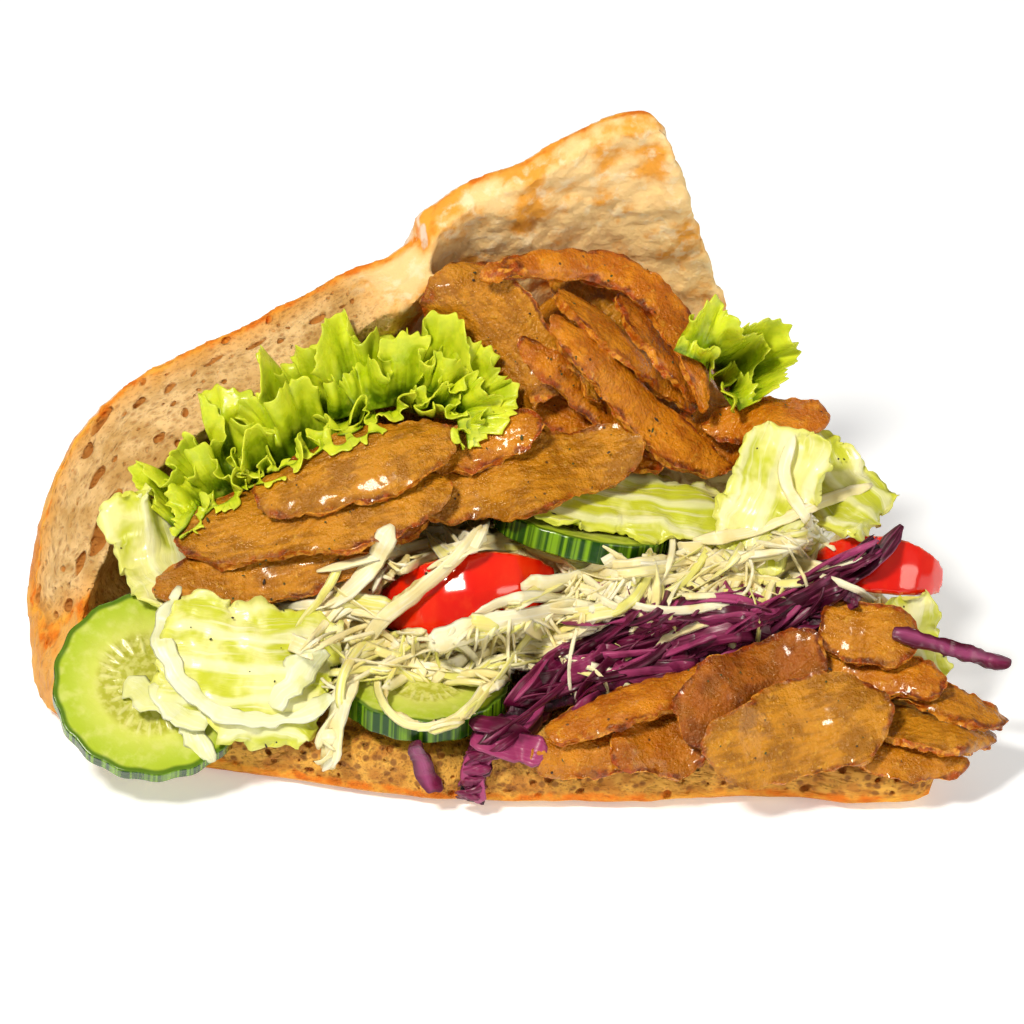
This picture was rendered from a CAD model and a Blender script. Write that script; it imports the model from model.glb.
"""The looks of a doner kebab sandwich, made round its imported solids.

Lengths are in millimetres in the tables and in metres in the meshes, with +Z up. The filling leans
back on a slope, and a place on it has three distances: across (to the right), up (along the slope)
and out (away from it).
"""
import math
from math import pi, radians

import bmesh
import bpy
import numpy as np
from mathutils import Matrix, Vector, noise
from mathutils.bvhtree import BVHTree


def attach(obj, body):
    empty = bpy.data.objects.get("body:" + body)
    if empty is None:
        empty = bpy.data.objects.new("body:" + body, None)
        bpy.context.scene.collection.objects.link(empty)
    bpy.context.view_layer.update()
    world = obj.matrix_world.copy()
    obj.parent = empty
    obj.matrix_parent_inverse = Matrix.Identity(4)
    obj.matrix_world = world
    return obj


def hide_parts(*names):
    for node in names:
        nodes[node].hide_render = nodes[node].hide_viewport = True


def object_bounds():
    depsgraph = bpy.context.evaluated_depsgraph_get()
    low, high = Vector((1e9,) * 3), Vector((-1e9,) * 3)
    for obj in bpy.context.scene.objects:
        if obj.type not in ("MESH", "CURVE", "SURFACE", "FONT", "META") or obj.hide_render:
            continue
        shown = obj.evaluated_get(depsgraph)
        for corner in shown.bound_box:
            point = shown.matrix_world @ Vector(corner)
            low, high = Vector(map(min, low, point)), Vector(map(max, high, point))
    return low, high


MM = 0.001
SEED = 7

SLOPE = radians(60)
ACROSS = np.array([1.0, 0.0, 0.0])
UP = np.array([0.0, math.cos(SLOPE), math.sin(SLOPE)])
OUT = np.array([0.0, -math.sin(SLOPE), math.cos(SLOPE)])
FAR_OUT = 200.0
SAME_POINT = 1e-6
TINY = 1e-12
# How far up the slope the filling reaches, in mm.
SLOPE_REACH = (-40, 80)

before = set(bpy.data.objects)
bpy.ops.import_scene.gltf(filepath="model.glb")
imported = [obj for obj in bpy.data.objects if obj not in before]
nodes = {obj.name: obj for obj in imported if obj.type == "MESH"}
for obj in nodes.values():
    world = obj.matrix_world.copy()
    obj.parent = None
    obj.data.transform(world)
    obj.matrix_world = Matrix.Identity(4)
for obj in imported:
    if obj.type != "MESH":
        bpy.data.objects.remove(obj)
cad_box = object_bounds()
draw = np.random.default_rng(SEED)
noise.seed_set(SEED)


# Places and meshes

def metres(places):
    """Places on the slope, in mm, as points in metres."""
    places = np.asarray(places, float)
    return (places[..., :1] * ACROSS + places[..., 1:2] * UP + places[..., 2:3] * OUT) * MM


def lengths(vectors):
    return np.linalg.norm(vectors, axis=-1)


def smooth_line(points, count):
    """Points at even steps along a smooth line through the given ones."""
    points = np.array(points, float)
    steps = lengths(np.diff(points, axis=0))
    knots = np.concatenate([[0], np.cumsum(steps)])
    slopes = np.gradient(points, knots, axis=0)
    wanted = np.linspace(0, knots[-1], count)
    span = np.clip(np.searchsorted(knots, wanted) - 1, 0, len(points) - 2)
    t = ((wanted - knots[span]) / steps[span])[:, None]
    length = steps[span][:, None]
    return (
        points[span] * (2 * t**3 - 3 * t**2 + 1)
        + points[span + 1] * (3 * t**2 - 2 * t**3)
        + slopes[span] * length * (t**3 - 2 * t**2 + t)
        + slopes[span + 1] * length * (t**3 - t**2)
    )


def directions(line):
    """The direction of a line at each of its points."""
    along = np.gradient(line, axis=0)
    return along / (lengths(along)[:, None] + TINY)


def lumps(points, size, seed=0.0):
    """Smooth noise from about -1 to 1 at points in metres, with lumps of that size in mm."""
    places = points / (size * MM) + seed * 17.3
    return np.array([noise.noise(p) for p in places.tolist()])


def drift(points, size, seed=0.0):
    """Noise like that of lumps, as a vector."""
    places = points / (size * MM) + seed * 11.9
    return np.array([noise.noise_vector(p) for p in places.tolist()])


def wander(values, seed):
    """Smooth noise along a line, from about -1 to 1."""
    return np.array([noise.noise((v, seed * 3.7 + 0.5, seed * 1.9)) for v in values])


def put(name, data):
    """Places a mesh, camera or light in the scene as an object."""
    obj = bpy.data.objects.new(name, data)
    bpy.context.scene.collection.objects.link(obj)
    return obj


def add_mesh(name, bm):
    mesh = bpy.data.meshes.new(name)
    bm.to_mesh(mesh)
    bm.free()
    return put(name, mesh)


def add_faces(name, points, faces):
    mesh = bpy.data.meshes.new(name)
    mesh.from_pydata(np.asarray(points).tolist(), [], faces)
    return put(name, mesh)


def grid_faces(rows, columns, start=0, closed=False):
    """Faces between the points of a grid. closed joins the last column to the first."""
    faces = []
    for i in range(rows - 1):
        for j in range(columns if closed else columns - 1):
            a, b = start + i * columns + j, start + i * columns + (j + 1) % columns
            faces.append((a, b, b + columns, a + columns))
    return faces


def read_points(obj, field):
    values = np.empty(len(obj.data.vertices) * 3)
    obj.data.vertices.foreach_get(field, values)
    return values.reshape(-1, 3)


def points_of(obj):
    return read_points(obj, "co")


def normals_of(obj):
    return read_points(obj, "normal")


def move_points(obj, points):
    obj.data.vertices.foreach_set("co", points.ravel())
    obj.data.update()


def push_out(obj, rise):
    """Moves each point of a mesh along its normal, by a distance in mm."""
    move_points(obj, points_of(obj) + normals_of(obj) * np.asarray(rise)[:, None] * MM)


def paint(obj, **fields):
    """Keeps numbers or vectors for the points of a mesh, for its material to read."""
    for name, values in fields.items():
        if np.isscalar(values):
            values = np.full(len(obj.data.vertices), values)
        values = np.asarray(values, np.float32)
        kind, field = ("FLOAT_VECTOR", "vector") if values.ndim == 2 else ("FLOAT", "value")
        attribute = obj.data.attributes.new(name, kind, "POINT")
        attribute.data.foreach_set(field, values.ravel())


def bake(obj):
    """Replaces the mesh of an object by what its modifiers make of it."""
    graph = bpy.context.evaluated_depsgraph_get()
    baked = bpy.data.meshes.new_from_object(obj.evaluated_get(graph))
    obj.modifiers.clear()
    obj.data = baked
    return obj


def divide(obj, levels):
    """Divides the faces of a mesh and rounds them, and bakes all its modifiers."""
    finer = obj.modifiers.new("finer", "SUBSURF")
    finer.levels = levels
    finer.render_levels = levels
    return bake(obj)


def solid_of(node):
    """The mesh of a solid with its split points joined again."""
    bm = bmesh.new()
    bm.from_mesh(nodes[node].data)
    bmesh.ops.remove_doubles(bm, verts=bm.verts, dist=SAME_POINT)
    return bm


def even_copy(node, name, voxel, smoothing):
    """A copy of a solid with small even faces and soft edges."""
    obj = add_mesh(name, solid_of(node))
    even = obj.modifiers.new("even", "REMESH")
    even.mode = "VOXEL"
    even.voxel_size = voxel * MM
    soften = obj.modifiers.new("soften", "SMOOTH")
    soften.iterations = smoothing
    return bake(obj)


def finish_piece(obj, look, slot, *replaced):
    """Gives a piece its material, and lets it stand for its solids."""
    obj.data.materials.clear()
    obj.data.materials.append(look)
    obj.data.shade_smooth()
    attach(obj, "root")
    if replaced:
        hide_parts(*replaced)
    return obj


def cast_in(tree, across, up):
    """The point and normal that are met first on the way in to a place on the slope, and its face."""
    start = Vector((ACROSS * across + UP * up + OUT * FAR_OUT) * MM)
    return tree.ray_cast(start, Vector(-OUT))[:3]


def distances(points, tree):
    """How far each point is from a surface, in mm."""
    return np.array([tree.find_nearest(p)[3] for p in points.tolist()]) / MM


class Ground:
    """Several solids, seen from outside the slope."""

    def __init__(self, names):
        points, faces, self.owners = [], [], []
        for name in names:
            start = len(points)
            mesh = nodes[name].data
            points += [v.co.copy() for v in mesh.vertices]
            faces += [[start + i for i in p.vertices] for p in mesh.polygons]
            self.owners += [name] * len(mesh.polygons)
        self.tree = BVHTree.FromPolygons(points, faces)

    def top(self, across, up):
        """How far out the solids reach at one spot, in mm, and which of them does; or None twice."""
        hit, _, index = cast_in(self.tree, across, up)
        if hit is None:
            return None, None
        return hit.dot(Vector(OUT)) / MM, self.owners[index]

    def heights(self, spots):
        """The same distance for an array of spots, with nan where there is nothing."""
        found = [self.top(across, up)[0] for across, up in spots.reshape(-1, 2)]
        return np.array([np.nan if f is None else f for f in found]).reshape(spots.shape[:-1])

    def spots(self, wanted, step):
        """Places where one of the wanted solids is the outermost one."""
        low, high = cad_box
        found = []
        for across in np.arange(low[0] / MM, high[0] / MM, step):
            for up in np.arange(*SLOPE_REACH, step):
                if self.top(across, up)[1] in wanted:
                    found.append((across, up))
        return np.array(found)


def filled(values):
    """A list of numbers with the missing ones taken from their neighbours."""
    known = np.isfinite(values)
    if not known.any():
        return np.zeros(len(values))
    return np.interp(np.arange(len(values)), np.flatnonzero(known), values[known])


# Materials

class Look:
    """A material whose nodes are added one by one. Sizes in it are in millimetres."""

    def __init__(self, name, roughness, subsurface=0.0, radius=(1.0, 0.5, 0.2), scale=2.0, coat=0.0,
                 specular=0.5):
        self.material = bpy.data.materials.new(name)
        self.material.use_nodes = True
        self.tree = self.material.node_tree
        self.shader = self.tree.nodes["Principled BSDF"]
        self.set("Roughness", roughness)
        self.set("Specular IOR Level", specular)
        self.set("Subsurface Weight", subsurface)
        self.set("Subsurface Radius", radius)
        self.set("Subsurface Scale", scale * MM)
        self.set("Coat Weight", coat)
        self.set("Coat Roughness", 0.12)
        self.place = self.add("ShaderNodeTexCoord").outputs["Object"]

    def set(self, socket, value):
        self.shader.inputs[socket].default_value = value

    def add(self, kind, **settings):
        node = self.tree.nodes.new(kind)
        for key, value in settings.items():
            setattr(node, key, value)
        return node

    def feed(self, socket, value):
        """Sets a node's input to a number or colour, or links it to another node's output."""
        if isinstance(value, bpy.types.NodeSocket):
            self.tree.links.new(value, socket)
        elif isinstance(value, tuple) and len(value) == 3 and socket.type == "RGBA":
            socket.default_value = (*value, 1)
        else:
            socket.default_value = value

    def named(self, name):
        return self.add("ShaderNodeAttribute", attribute_name=name).outputs["Fac"]

    def named_vector(self, name):
        return self.add("ShaderNodeAttribute", attribute_name=name).outputs["Vector"]

    def noise(self, size, detail=3.0, place=None, rough=0.55):
        node = self.add("ShaderNodeTexNoise")
        self.feed(node.inputs["Vector"], place or self.place)
        self.feed(node.inputs["Scale"], (1 if place else 1 / MM) / size)
        self.feed(node.inputs["Detail"], detail)
        self.feed(node.inputs["Roughness"], rough)
        return node.outputs["Fac"]

    def cells(self, size, place=None):
        node = self.add("ShaderNodeTexVoronoi")
        self.feed(node.inputs["Vector"], place or self.place)
        self.feed(node.inputs["Scale"], (1 if place else 1 / MM) / size)
        return node.outputs["Distance"]

    def stretch(self, place, scale):
        node = self.add("ShaderNodeVectorMath", operation="MULTIPLY")
        self.feed(node.inputs[0], place)
        node.inputs[1].default_value = scale
        return node.outputs["Vector"]

    def math(self, operation, a, b=0.0):
        node = self.add("ShaderNodeMath", operation=operation)
        self.feed(node.inputs[0], a)
        self.feed(node.inputs[1], b)
        return node.outputs["Value"]

    def times(self, a, b):
        return self.math("MULTIPLY", a, b)

    def plus(self, a, b):
        return self.math("ADD", a, b)

    def streaks(self, place, scale, detail=3.0):
        """Noise that is drawn out along a place's axes by how small their scale is."""
        return self.noise(1.0, detail, self.stretch(place, scale))

    def shifted(self, value, size, detail, reach):
        """A number with noise added, so that where it passes a limit is ragged."""
        ragged = self.math("SUBTRACT", self.noise(size, detail), 0.5)
        return self.plus(value, self.times(ragged, reach))

    def fit(self, value, low, high, to_low=0.0, to_high=1.0):
        """Spreads what lies between low and high smoothly over another range."""
        node = self.add("ShaderNodeMapRange", interpolation_type="SMOOTHSTEP")
        limits = {"From Min": low, "From Max": high, "To Min": to_low, "To Max": to_high}
        for socket, number in limits.items():
            node.inputs[socket].default_value = number
        self.feed(node.inputs["Value"], value)
        return node.outputs["Result"]

    def mix(self, share, a, b):
        node = self.add("ShaderNodeMix", data_type="RGBA")
        colours = [socket for socket in node.inputs if socket.type == "RGBA"]
        self.feed(node.inputs["Factor"], share)
        self.feed(colours[0], a)
        self.feed(colours[1], b)
        return next(socket for socket in node.outputs if socket.type == "RGBA")

    def over(self, colour, *layers):
        """Lays tints over a colour. Each goes from none, where its value is low, to its share."""
        for value, low, high, share, tint in layers:
            colour = self.mix(self.fit(value, low, high, 0, share), colour, tint)
        return colour

    def blotches(self, size, a, b, low=0.38, high=0.62, detail=3.0):
        """Two colours in patches of that size."""
        return self.mix(self.fit(self.noise(size, detail), low, high), a, b)

    def bump(self, height, depth, strength=1.0, below=None):
        """Relief of that depth in mm where the height goes from 0 to 1."""
        node = self.add("ShaderNodeBump")
        node.inputs["Strength"].default_value = strength
        node.inputs["Distance"].default_value = depth * MM
        self.feed(node.inputs["Height"], height)
        if below is not None:
            self.feed(node.inputs["Normal"], below)
        return node.outputs["Normal"]

    def wear(self, colour=None, roughness=None, normal=None):
        """Puts the finished colour, roughness and relief on the shader."""
        for name, value in (("Base Color", colour), ("Roughness", roughness), ("Normal", normal)):
            if value is not None:
                self.feed(self.shader.inputs[name], value)
        return self.material


def bread_look():
    look = Look("baked_bread", 0.75, subsurface=0.12, radius=(1.0, 0.6, 0.3), scale=1.0, specular=0.25)
    deep, outer, sunk, flap, low, high = (
        look.named(n) for n in ("deep", "outer", "sunk", "flap", "low", "high")
    )
    grain = look.named_vector("grain")
    pores = look.cells(1.0, look.stretch(grain, (0.45, 0.62, 0.62)))
    fine_pores = look.cells(1.0, look.stretch(grain, (1.0, 1.6, 1.6)))
    holes = look.math("MAXIMUM", look.fit(pores, 0.34, 0.10), look.fit(fine_pores, 0.34, 0.12, 0, 0.5))
    crumb = look.over(
        look.blotches(9, (0.54, 0.31, 0.10), (0.80, 0.54, 0.25), detail=5),
        (look.streaks(grain, (0.10, 0.4, 0.4), 4), 0.5, 0.7, 0.4, (0.42, 0.20, 0.055)),
        (deep, 8, 2, 0.65, (0.76, 0.34, 0.06)),
    )
    crumb = look.mix(look.times(holes, 0.55), crumb, (0.36, 0.13, 0.022))
    sponge = look.over(
        look.blotches(4, (0.50, 0.19, 0.020), (0.78, 0.40, 0.06)),
        (look.cells(2.0), 0.46, 0.22, 0.8, (0.19, 0.052, 0.008)),
        (look.cells(0.9), 0.4, 0.2, 0.5, (0.26, 0.08, 0.012)),
    )
    crumb = look.mix(look.times(low, 0.9), crumb, sponge)
    peel = look.over(
        look.blotches(11, (0.95, 0.66, 0.30), (0.86, 0.38, 0.05), 0.46, 0.6, 5),
        (look.noise(3.2, 6), 0.5, 0.68, 0.65, (0.98, 0.82, 0.54)),
        (deep, 4.0, 1.2, 0.8, (0.84, 0.38, 0.04)),
    )
    crumb = look.mix(flap, crumb, peel)
    hole = look.over((0.52, 0.22, 0.045), (sunk, 0.6, 3.0, 1, (0.36, 0.12, 0.018)))
    inside = look.over(crumb, (sunk, 0.12, 0.6, 1, hole))
    rind = look.blotches(5, (0.74, 0.18, 0.008), (0.86, 0.40, 0.045), 0.35, 0.65)
    face = look.over(rind, (look.shifted(deep, 2.5, 4, 2.6), 1.3, 2.9, 1, inside))
    baked = look.blotches(14, (0.64, 0.22, 0.022), (0.82, 0.43, 0.09), 0.35, 0.65, 4)
    flour = look.fit(look.plus(look.noise(5, 6), look.times(look.noise(22, 2), 0.7)), 0.72, 0.95)
    baked = look.mix(look.times(flour, look.times(high, 0.85)), baked, (0.90, 0.74, 0.60))
    colour = look.over(face, (outer, 0.35, 0.75, 1, baked))
    spongy = look.plus(look.fit(pores, 0.1, 0.5), look.times(look.fit(fine_pores, 0.1, 0.45), 0.45))
    relief = look.bump(look.mix(flap, spongy, look.noise(1.6, 6)), 0.8, 0.6)
    relief = look.bump(look.noise(0.5, 3), 0.15, 0.5, relief)
    return look.wear(colour, look.fit(outer, 0.3, 0.8, 0.85, 0.5), relief)


def meat_look():
    look = Look("seared_meat", 0.35, subsurface=0.08, radius=(1.0, 0.35, 0.1), scale=0.8, coat=0.2)
    look.set("Coat Roughness", 0.1)
    look.set("Specular Tint", (1.0, 0.85, 0.6, 1))
    edge, tone = look.named("edge"), look.named("tone")
    grain = look.streaks(look.named_vector("grain"), (0.16, 0.8, 0.5), 4)
    mottled = look.plus(look.times(grain, 0.4), look.times(look.noise(6, 3), 0.6))
    colour = look.over(
        (0.34, 0.125, 0.004),
        (mottled, 0.42, 0.58, 1, (0.58, 0.235, 0.009)),
        (tone, 0.35, 1.0, 0.85, look.blotches(5, (0.48, 0.115, 0.002), (0.72, 0.24, 0.006))),
        (look.noise(1.1, 5), 0.57, 0.72, 0.5, (0.78, 0.42, 0.05)),
        (tone, 1.0, 2.0, 0.9, look.blotches(6, (0.11, 0.018, 0.001), (0.32, 0.075, 0.004))),
    )
    seared = look.blotches(1.7, (0.10, 0.008, 0.001), (0.36, 0.050, 0.003), 0.4, 0.65)
    patchy = look.fit(look.noise(9, 2), 0.42, 0.56, 0.15, 1)
    band = look.times(look.fit(look.shifted(edge, 2.4, 4, 3.6), 1.7, 0.7), patchy)
    colour = look.mix(look.times(band, 0.9), colour, seared)
    rim = look.blotches(1.5, (0.46, 0.090, 0.003), (0.80, 0.34, 0.030), 0.4, 0.6)
    colour = look.over(colour, (edge, 0.35, 0.0, 1, rim))
    specks = look.times(look.fit(look.cells(3.4), 0.11, 0.07), look.fit(look.noise(6, 1), 0.5, 0.56))
    colour = look.mix(look.times(specks, 0.9), colour, (0.04, 0.012, 0.004))
    relief = look.bump(look.noise(1.1, 3, rough=0.6), 0.8, 1.0, look.bump(grain, 0.3, 0.6))
    return look.wear(colour, look.fit(look.noise(3, 3), 0.4, 0.62, 0.16, 0.38), relief)


def curly_look():
    look = Look("curly_leaf", 0.36, subsurface=0.15, radius=(0.6, 1.0, 0.1), scale=1.0, specular=0.4)
    height, tone, folds = look.named("height"), look.named("tone"), look.noise(1.8, 3)
    young = look.blotches(4, (0.44, 0.56, 0.004), (0.66, 0.74, 0.018))
    colour = look.over(
        look.blotches(4, (0.07, 0.14, 0.001), (0.24, 0.38, 0.004)),
        (look.plus(look.shifted(height, 6, 2, 0.5), look.times(tone, 0.12)), 0.3, 0.85, 1, young),
        (height, 0.7, 1.0, 0.35, (0.78, 0.82, 0.08)),
        (folds, 0.52, 0.72, 0.4, (0.72, 0.76, 0.06)),
    )
    return look.wear(colour, look.fit(look.noise(3, 2), 0.4, 0.6, 0.24, 0.45), look.bump(folds, 0.3, 0.6))


def leaf_look(name, pale, green, rib, rim):
    """A pale leaf with ribs along it and a greener rim."""
    look = Look(name, 0.3, subsurface=0.15, radius=(1.0, 0.9, 0.3), scale=1.2, coat=0.1, specular=0.4)
    edge, ridge, tone = (look.named(n) for n in ("edge", "ridge", "tone"))
    threads = look.streaks(look.named_vector("grain"), (0.08, 1.0, 0.2))
    patches = look.noise(9, 3)
    colour = look.over(
        pale,
        (look.plus(patches, look.fit(tone, 0, 1, -0.12, 0.2)), 0.4, 0.6, 1, green),
        (ridge, 0.35, 0.9, 0.5, rib),
        (threads, 0.52, 0.72, 0.55, rib),
        (edge, 1.4, 0.2, 0.7, rim),
    )
    return look.wear(colour, look.fit(patches, 0.4, 0.6, 0.22, 0.4), look.bump(threads, 0.35, 0.7))


def shred_look(name, tones, rib, streak, shade):
    """Cut cabbage: strips in three tones, with fine ribs along them and darker patches."""
    look = Look(name, 0.34, subsurface=0.12, radius=(1.0, 0.9, 0.5), scale=1.0, specular=0.35)
    tone = look.named("tone")
    lines = look.streaks(look.named_vector("grain"), (0.10, 1.6, 1.0), 2)
    colour = look.over(
        tones[0],
        (tone, 0.1, 0.55, 1, tones[1]),
        (tone, 0.6, 0.95, 1, tones[2]),
        (lines, 0.48, 0.68, streak, rib),
        (look.named("side"), 0.8, 1.0, 0.4, rib),
        (look.noise(6, 3), 0.5, 0.7, 0.6, shade),
    )
    return look.wear(colour, None, look.bump(lines, 0.25, 0.7))


def packed_look(name, dark, light):
    """The shaded inside of a heap of cut leaves."""
    look = Look(name, 0.5, subsurface=0.15, radius=(1.0, 0.9, 0.5), scale=1.0)
    folds = look.noise(2.2, 4)
    return look.wear(look.over(dark, (folds, 0.4, 0.68, 1, light)), None, look.bump(folds, 1.2, 0.9))


def cucumber_look():
    look = Look("cucumber_slice", 0.24, subsurface=0.15, radius=(0.6, 1.0, 0.3), scale=1.2, specular=0.45)
    disc = look.named_vector("disc")
    share, side, seeds = (look.named(n) for n in ("share", "side", "seed"))
    rays, soft, streaks = (look.streaks(disc, (s, s, s), d) for s, d in ((0.3, 3), (0.6, 2), (0.75, 3)))
    core = look.over((0.44, 0.45, 0.045), (soft, 0.4, 0.6, 1, (0.62, 0.62, 0.16)))
    rind = look.over((0.010, 0.055, 0.001), (streaks, 0.42, 0.66, 1, (0.20, 0.38, 0.008)))
    colour = look.over(
        (0.66, 0.70, 0.13),
        (share, 0.5, 0.93, 1, (0.42, 0.54, 0.03)),
        (rays, 0.45, 0.7, 0.45, (0.72, 0.72, 0.24)),
        (share, 0.62, 0.5, 1, core),
        (seeds, 0.2, 0.6, 0.6, (0.74, 0.72, 0.30)),
        (share, 0.925, 0.965, 1, (0.09, 0.18, 0.004)),
        (side, 0.4, 0.6, 1, rind),
    )
    return look.wear(colour, None, look.bump(look.noise(1.5, 3), 0.14, 0.6))


def tomato_look():
    look = Look("tomato_wedge", 0.2, subsurface=0.2, radius=(1.0, 0.15, 0.05), scale=2.0, coat=0.5)
    cut = look.named("cut")
    skin = look.blotches(14, (0.74, 0.008, 0.001), (0.88, 0.022, 0.002), 0.35, 0.65, 2)
    flesh = look.blotches(3, (0.70, 0.05, 0.010), (0.84, 0.18, 0.05), 0.4, 0.6)
    colour = look.over(
        skin,
        (look.streaks(look.place, (300, 90, 300)), 0.5, 0.8, 0.3, (0.90, 0.07, 0.012)),
        (cut, 0.4, 0.6, 1, flesh),
    )
    return look.wear(colour, look.fit(cut, 0.3, 0.7, 0.16, 0.3), look.bump(look.noise(4, 2), 0.12, 0.4))


def seasoning_look():
    """Pepper, and herbs."""
    look = Look("seasoning", 0.6)
    pepper, herbs = (0.028, 0.013, 0.006), (0.04, 0.06, 0.01)
    return look.wear(look.over(pepper, (look.named("tone"), 0.45, 0.55, 1, herbs)))


# Bread

BREAD_VOXEL = 1.0
BREAD_SMOOTHING = 3
BREAD_SUNK = 0.15
CRUST_THICK = 1.6
PORE_EDGE = 0.3
FLAP_PLAIN = 0.2
CRUST_SIDES = np.array([(0, 0, -1), (-0.43, 0.87, 0.24), (-0.90, 0.43, 0)])
CRUST_FACING = 0.6
GRAIN_CENTRE = (-10, 20)
GRAIN_RADIUS = 75
GRAIN_START = radians(20)
FLAP_EDGE = [(-30, 76), (-16, 62)]
FLAP_BLEND = 9.0
PORE_SPACING = 0.55
PORE_COUNT = 900
PORE_LONGER = (1.0, 1.7)
PORE_RADIUS = (0.3, 1.1)
PORE_DEEP = 1.9
PORE_TURNS = 30
PORE_SINKS = 0.25
# The largest holes of the crumb: place (across, up), length, width, direction in degrees.
BIG_PORES = [
    (-80.5, 47.0, 4.0, 1.7, 60), (-83.0, 41.0, 2.2, 1.6, 70), (-81.0, 35.5, 3.2, 1.5, 55),
    (-79.0, 26.5, 8.0, 2.6, 66), (-84.0, 18.5, 3.4, 1.3, 60), (-93.5, 12.0, 2.6, 1.0, 75),
    (-86.5, 10.0, 1.7, 1.4, 20), (-68.0, 43.5, 1.6, 1.2, 40), (-57.5, 59.0, 2.4, 0.9, 30),
    (-49.0, 62.0, 2.6, 0.9, 28), (-36.5, 67.0, 2.0, 0.9, 28), (-72.5, 50.5, 1.8, 1.1, 45),
]


def crust_tree():
    """The outer, baked faces of the bread, told from its cut faces by the way that they face."""
    bm = solid_of("bread")
    sides = CRUST_SIDES / lengths(CRUST_SIDES)[:, None]
    inner = [f for f in bm.faces if (sides @ np.array(f.normal)).max() < CRUST_FACING]
    bmesh.ops.delete(bm, geom=inner, context="FACES")
    tree = BVHTree.FromBMesh(bm)
    bm.free()
    return tree, sides


def grain_of(points, deep):
    """Places in the crumb as (along the crust, in from it, out): its bubbles are drawn out along it."""
    across, up, out = points @ ACROSS / MM, points @ UP / MM, points @ OUT / MM
    turn = np.mod(np.arctan2(up - GRAIN_CENTRE[1], across - GRAIN_CENTRE[0]) + GRAIN_START, 2 * pi)
    return np.stack([turn * GRAIN_RADIUS, deep, out], axis=1)


def flap_of(points):
    """The share of the torn, peeled crumb of the raised tip, from 0 to 1."""
    across, up = points @ ACROSS / MM, points @ UP / MM
    (x0, y0), (x1, y1) = FLAP_EDGE
    beyond = ((across - x0) * (y0 - y1) + (up - y0) * (x1 - x0)) / math.hypot(x1 - x0, y1 - y0)
    return np.clip(beyond / FLAP_BLEND + 0.5, 0, 1) * np.clip((up - 35) / 15, 0, 1)


def add_pore(bm, centre, normal, along, size):
    """Adds an uneven ellipsoid, sunk in the crumb, to the ones that are cut out of it."""
    along = (along - normal * along.dot(normal)).normalized()
    turned = Matrix((along, normal.cross(along), normal)).transposed().to_4x4()
    shape = Matrix.Diagonal((*size, 1 / MM)) * MM
    place = Matrix.Translation(centre - normal * size[2] * PORE_SINKS * MM)
    bmesh.ops.create_icosphere(bm, subdivisions=2, radius=1.0, matrix=place @ turned @ shape)


def pore_cutters(bread, deep, flap):
    """The bubbles of the crumb, none of them touching another."""
    points, normals = points_of(bread), normals_of(bread)
    graph = bpy.context.evaluated_depsgraph_get()
    whole = BVHTree.FromObject(bread, graph)
    bm = bmesh.new()
    placed = []
    for across, up, length, width, heading in BIG_PORES:
        hit, normal, _ = cast_in(whole, across, up)
        if hit is None:
            continue
        heading = radians(heading)
        along = Vector(ACROSS * math.cos(heading) + UP * math.sin(heading))
        add_pore(bm, hit, normal, along, (length, width, width * 1.2))
        placed.append([*(hit / MM), length])
    order = draw.permutation(np.flatnonzero((deep > PORE_DEEP) & (flap < FLAP_PLAIN)))
    for i in order:
        radius = PORE_RADIUS[0] + (PORE_RADIUS[1] - PORE_RADIUS[0]) * draw.random() ** 3
        longest = radius * draw.uniform(*PORE_LONGER)
        known = np.array(placed)
        apart = lengths(known[:, :3] - points[i] / MM)
        if (apart < known[:, 3] + longest + PORE_SPACING).any():
            continue
        placed.append([*(points[i] / MM), longest])
        spoke = (points[i] @ ACROSS / MM - GRAIN_CENTRE[0], points[i] @ UP / MM - GRAIN_CENTRE[1])
        along = Vector(-ACROSS * spoke[1] + UP * spoke[0]) + Vector(draw.normal(size=3)) * PORE_TURNS
        size = (longest, radius, radius * draw.uniform(0.8, 1.5))
        add_pore(bm, Vector(points[i]), Vector(normals[i]), along, size)
        if len(placed) >= PORE_COUNT:
            break
    pores = add_mesh("pores", bm)
    uneven = points_of(pores)
    move_points(pores, uneven + drift(uneven, 2.0, 9) * 0.3 * MM)
    return pores, whole


def make_bread(look):
    bread = even_copy("bread", "folded_flatbread", BREAD_VOXEL, BREAD_SMOOTHING)
    crust, sides = crust_tree()
    points = points_of(bread)
    deep = distances(points, crust)
    crumb = np.clip((deep - 1.0) / 2.5, 0, 1)
    flap = flap_of(points)
    rise = 0.4 * lumps(points, 7, 1) + crumb * (0.5 * lumps(points, 3.2, 2) + 0.35 * lumps(points, 1.9, 3))
    rise += crumb * flap * (0.9 * lumps(points, 6, 5) + 0.5 * np.abs(lumps(points, 2.6, 6)))
    rise += (1 - crumb) * 0.22 * lumps(points, 2.6, 4)
    rise *= np.clip((points[:, 2] / MM - 0.3) / 1.5, 0, 1)
    push_out(bread, rise - BREAD_SUNK)
    pores, whole = pore_cutters(bread, deep, flap)
    cut = bread.modifiers.new("pores", "BOOLEAN")
    cut.operation = "DIFFERENCE"
    cut.solver = "MANIFOLD"
    cut.object = pores
    bake(bread)
    bpy.data.objects.remove(pores)
    points, normals = points_of(bread), normals_of(bread)
    sunk, deep = distances(points, whole), distances(points, crust)
    facing = (normals @ sides.T).max(axis=1)
    height = points[:, 2] / MM
    paint(
        bread, deep=deep, sunk=sunk, flap=flap_of(points), grain=grain_of(points, deep),
        outer=np.clip((facing - 0.35) / 0.3, 0, 1) * (deep < CRUST_THICK) * (sunk < PORE_EDGE),
        low=np.clip((19 - height) / 5, 0, 1), high=np.clip((height - 38) / 20, 0, 1),
    )
    return finish_piece(bread, look, "bread", "bread")


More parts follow.
